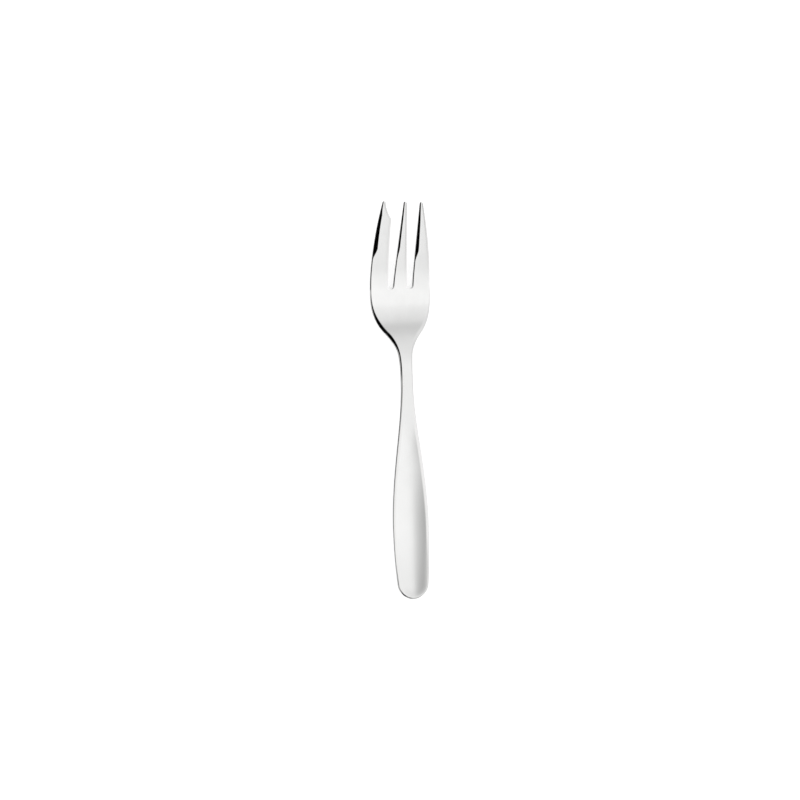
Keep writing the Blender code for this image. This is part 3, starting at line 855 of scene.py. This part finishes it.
# Polishing lines, hazed patches and buffing waves in a metre
LINE_SCALE = (6000.0, 90.0, 6000.0)
PATCH_SCALE = 160.0
WAVE_SCALE = 130.0

# Noise from no haze to full haze, and the share of an edge's turn by which it has its own polish
HAZED = (0.75, 1.25)
EDGE_BLEND = 0.2


def new_material(name):
    """A material, its node tree and its shader."""
    material = bpy.data.materials.new(name)
    material.use_nodes = True
    tree = material.node_tree
    return material, tree, tree.nodes["Principled BSDF"]


def polished_steel(finish):
    """Stainless steel with slow buffing waves, polishing lines along the fork, hazed patches, and a colour
    darkened along the fork that is partly wear and partly painted shade.
    """
    material, tree, shader = new_material("polished_steel")
    shader.inputs["Metallic"].default_value = 1.0
    place = add_node(tree, "ShaderNodeTexCoord").outputs["Object"]
    drawn_out = add_node(tree, "ShaderNodeMapping", {"Vector": place, "Scale": LINE_SCALE})
    lines = noise(tree, drawn_out.outputs["Vector"], 1.0, detail=3.0)
    patches = noise(tree, place, PATCH_SCALE, detail=4.0)
    waves = noise(tree, place, WAVE_SCALE, detail=1.0)
    haze = mapped(tree, maths(tree, "ADD", lines, patches), *HAZED, 0.0, 1.0)
    steel = mixed_colour(tree, haze, (*finish.steel, 1.0), (*finish.hazed_steel, 1.0))
    # Darker steel along the handle and neck: partly wear from handling, partly painted shade for darker
    # reflections.
    wear = add_node(tree, "ShaderNodeAttribute", attribute_name="wear").outputs["Fac"]
    worn_and_shaded = mixed_colour(tree, wear, steel, (*finish.worn_steel, 1.0))
    feed(tree, shader.inputs["Base Color"], worn_and_shaded)
    roughness = mapped(tree, haze, 0.0, 1.0, finish.polish, finish.haze)
    edge = add_node(tree, "ShaderNodeAttribute", attribute_name="edge").outputs["Fac"]
    on_edge = mapped(tree, edge, 0.0, EDGE_BLEND, 0.0, 1.0)
    smoother = maths(tree, "SUBTRACT", finish.edge_polish, roughness)
    feed(tree, shader.inputs["Roughness"], maths(tree, "MULTIPLY_ADD", on_edge, smoother, roughness))
    waved = bump(tree, waves, finish.wave_depth)
    lined = bump(tree, lines, finish.line_depth, Normal=waved)
    feed(tree, shader.inputs["Normal"], lined)
    return material


# The table: roughness, gloss, mottles in a metre, noise from dark to pale ones, light of the dark ones
TABLE_ROUGHNESS = 0.6
TABLE_GLOSS = 0.1
MOTTLE_SCALE = 40.0
MOTTLED = (0.3, 0.7)
DARK_MOTTLE = 0.98


def table_top(studio):
    """Pale milk glass with a faint mottle, lit from below."""
    material, tree, shader = new_material("milk_glass")
    shader.inputs["Roughness"].default_value = TABLE_ROUGHNESS
    shader.inputs["Specular IOR Level"].default_value = TABLE_GLOSS
    shader.inputs["Emission Strength"].default_value = studio.floor_glow
    place = add_node(tree, "ShaderNodeTexCoord").outputs["Object"]
    mottle = mapped(tree, noise(tree, place, MOTTLE_SCALE, detail=3.0), *MOTTLED, DARK_MOTTLE, 1.0)
    shade = mixed_colour(tree, mottle, (0.0, 0.0, 0.0, 1.0), (*studio.floor, 1.0))
    feed(tree, shader.inputs["Base Color"], shade)
    feed(tree, shader.inputs["Emission Color"], shade)
    return material


# Tent that the steel sees, as (degrees, brightness): from left over top to right, and from handle to tips
TENT_ACROSS = (
    (-180, 0.60), (-110, 0.50), (-75, 0.50), (-45, 0.45), (-16, 0.47), (-8, 0.55), (4, 0.80),
    (10, 0.94), (18, 0.99), (36, 1.0), (55, 0.80), (75, 0.75), (110, 0.74), (180, 0.60),
)
TENT_ALONG = (
    (-90, 0.55), (-53, 0.90), (-40, 1.0), (-28, 1.06), (-11, 1.12), (8, 1.11),
    (20, 1.0), (32, 0.92), (44, 0.81), (52, 0.69), (90, 0.62),
)

# The tent's right side: degrees across where it begins, degrees along, and change of brightness over those
RIGHT_START = (45, 58)
RIGHT_ALONG = (-40, 25)
RIGHT_CHANGE = (0.13, -0.12)

# The dark patch underneath: heights of its rim on a ball round the fork, and brightness
UNDERNEATH = (-0.97, -0.80)
UNDERNEATH_LIGHT = 0.05

# Black discs hung in the tent: way to the middle, radius and soft rim in degrees
DISCS = (
    ((-0.835, 0.085, 0.54), 11.5, 6.0),
    ((-0.44, -0.47, 0.765), 12.0, 6.0),
    ((-0.395, -0.70, 0.595), 12.0, 6.0),
)


def by_degrees(tree, turn, degrees, values):
    """Maps an angle from a range in degrees to a range of values."""
    return mapped(tree, turn, *map(math.radians, degrees), *values)


def angle_ramp(tree, turn, least, most, stops):
    """Brightness by angle, through (degrees, brightness) stops."""
    node = tree.nodes.new("ShaderNodeFloatCurve")
    points = node.mapping.curves[0].points
    top = max(brightness for _, brightness in stops)
    while len(points) < len(stops):
        points.new(0.5, 0.5)
    for point, (degrees, brightness) in zip(points, stops):
        point.location = (degrees - least) / (most - least), brightness / top
        point.handle_type = "AUTO_CLAMPED"
    node.mapping.update()
    feed(tree, node.inputs["Value"], by_degrees(tree, turn, (least, most), (0.0, 1.0)))
    return maths(tree, "MULTIPLY", node.outputs["Value"], top)


def outside_disc(tree, direction, way, radius, rim):
    """1 outside a disc hung in the tent, and 0 inside its soft rim."""
    ways = {0: direction, 1: way.normalized()}
    facing = add_node(tree, "ShaderNodeVectorMath", ways, operation="DOT_PRODUCT")
    inner = math.cos(math.radians(radius - rim / 2))
    outer = math.cos(math.radians(radius + rim / 2))
    return mapped(tree, facing.outputs["Value"], outer, inner, 1.0, 0.0)


def light_tent(studio):
    """World that lights the table evenly, and shows the steel a white tent that is greyer on its left."""
    world = bpy.data.worlds.new("light_tent")
    world.use_nodes = True
    tree = world.node_tree
    tree.nodes.clear()
    direction = add_node(tree, "ShaderNodeTexCoord").outputs["Generated"]
    parts = add_node(tree, "ShaderNodeSeparateXYZ", {"Vector": direction}).outputs
    turn = maths(tree, "ARCTAN2", parts["X"], parts["Z"])
    slant = maths(tree, "ARCSINE", parts["Y"])
    across = angle_ramp(tree, turn, -180, 180, TENT_ACROSS)
    along = angle_ramp(tree, slant, -90, 90, TENT_ALONG)
    on_right = by_degrees(tree, turn, RIGHT_START, (0.0, 1.0))
    change = by_degrees(tree, slant, RIGHT_ALONG, RIGHT_CHANGE)
    right_light = maths(tree, "MULTIPLY_ADD", on_right, change, 1.0)
    lit = maths(tree, "MULTIPLY", maths(tree, "MULTIPLY", across, along), right_light)
    seen = maths(tree, "MULTIPLY", lit, mapped(tree, parts["Z"], *UNDERNEATH, UNDERNEATH_LIGHT, 1.0))
    for way, radius, rim in DISCS:
        seen = maths(tree, "MULTIPLY", seen, outside_disc(tree, direction, Vector(way), radius, rim))
    white = {"Color": (1.0, 1.0, 1.0, 1.0)}
    glow = maths(tree, "MULTIPLY", seen, studio.tent)
    tent = add_node(tree, "ShaderNodeBackground", white | {"Strength": glow})
    fill = add_node(tree, "ShaderNodeBackground", white | {"Strength": studio.fill})
    in_steel = add_node(tree, "ShaderNodeLightPath").outputs["Is Glossy Ray"]
    mixed = add_node(tree, "ShaderNodeMixShader", {0: in_steel, 1: fill.outputs[0], 2: tent.outputs[0]})
    add_node(tree, "ShaderNodeOutputWorld", {"Surface": mixed.outputs[0]})
    return world


# How far the camera sees, for its distance from the fork
CAMERA_REACH = 10


class FORK_OT_press(bpy.types.Operator):
    """Press the fork from a flat blank of polished steel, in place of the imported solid"""

    bl_idname = "fork.press"
    bl_label = "Press Fork"
    bl_options = {"REGISTER", "UNDO"}

    def execute(self, context):
        fork = context.scene.dessert_fork
        shape = ForkShape(fork)
        piece = bpy.data.objects.new("pressed_fork", BlankMesh(Blank(shape)).build())
        context.scene.collection.objects.link(piece)
        bake_tree(piece, press_tree(), press_values(fork, shape, polished_steel(fork.finish)))
        if not piece.data.polygons:
            raise RuntimeError("The blank came out of the press without a surface")
        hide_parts("fork")
        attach(piece, "root")
        return {"FINISHED"}


class FORK_OT_studio(bpy.types.Operator):
    """Set the table, the light tent and the camera"""

    bl_idname = "fork.studio"
    bl_label = "Set Studio"
    bl_options = {"REGISTER", "UNDO"}

    def execute(self, context):
        scene = context.scene
        studio = scene.dessert_fork.studio
        scene.world = light_tent(studio)
        scene.view_settings.view_transform = "Standard"
        scene.collection.objects.link(self.table(studio))
        scene.camera = self.camera(studio)
        scene.collection.objects.link(scene.camera)
        return {"FINISHED"}

    def table(self, studio):
        mesh = bpy.data.meshes.new("table")
        half = studio.floor_size / 2
        corners = [(-half, -half, 0.0), (half, -half, 0.0), (half, half, 0.0), (-half, half, 0.0)]
        mesh.from_pydata(corners, [], [(0, 1, 2, 3)])
        mesh.materials.append(table_top(studio))
        table = bpy.data.objects.new("table", mesh)
        table.visible_glossy = False
        return table

    def camera(self, studio):
        data = bpy.data.cameras.new("camera")
        data.lens = data.sensor_width * studio.distance / studio.frame_width
        data.clip_end = studio.distance * CAMERA_REACH
        camera = bpy.data.objects.new("camera", data)
        lean = Matrix.Rotation(-studio.lean, 4, "Y")
        pitch = Matrix.Rotation(studio.pitch, 4, "X")
        roll = Matrix.Rotation(-studio.roll, 4, "Z")
        place = Matrix.Translation((*studio.target, studio.distance))
        camera.matrix_world = lean @ pitch @ roll @ place
        return camera


class FORK_PT_sidebar(bpy.types.Panel):
    """Sizes of the fork, and the steps that make it"""

    bl_label = "Dessert Fork"
    bl_space_type = "VIEW_3D"
    bl_region_type = "UI"
    bl_category = "Fork"

    def draw(self, context):
        layout = self.layout
        layout.operator(FORK_OT_press.bl_idname)
        layout.operator(FORK_OT_studio.bl_idname)
        fork = context.scene.dessert_fork
        for part in fork.__annotations__:
            group = getattr(fork, part)
            box = layout.box()
            for name in group.__annotations__:
                box.prop(group, name)


CLASSES = (
    ForkOutline, ForkTines, ForkProfile, ForkSection, SteelFinish, Studio, DessertFork,
    FORK_OT_press, FORK_OT_studio, FORK_PT_sidebar,
)


def register():
    for cls in CLASSES:
        bpy.utils.register_class(cls)
    bpy.types.Scene.dessert_fork = PointerProperty(type=DessertFork)


def unregister():
    del bpy.types.Scene.dessert_fork
    for cls in reversed(CLASSES):
        bpy.utils.unregister_class(cls)


def main():
    register()
    bpy.ops.fork.press()
    bpy.ops.fork.studio()


if __name__ == "__main__":
    main()
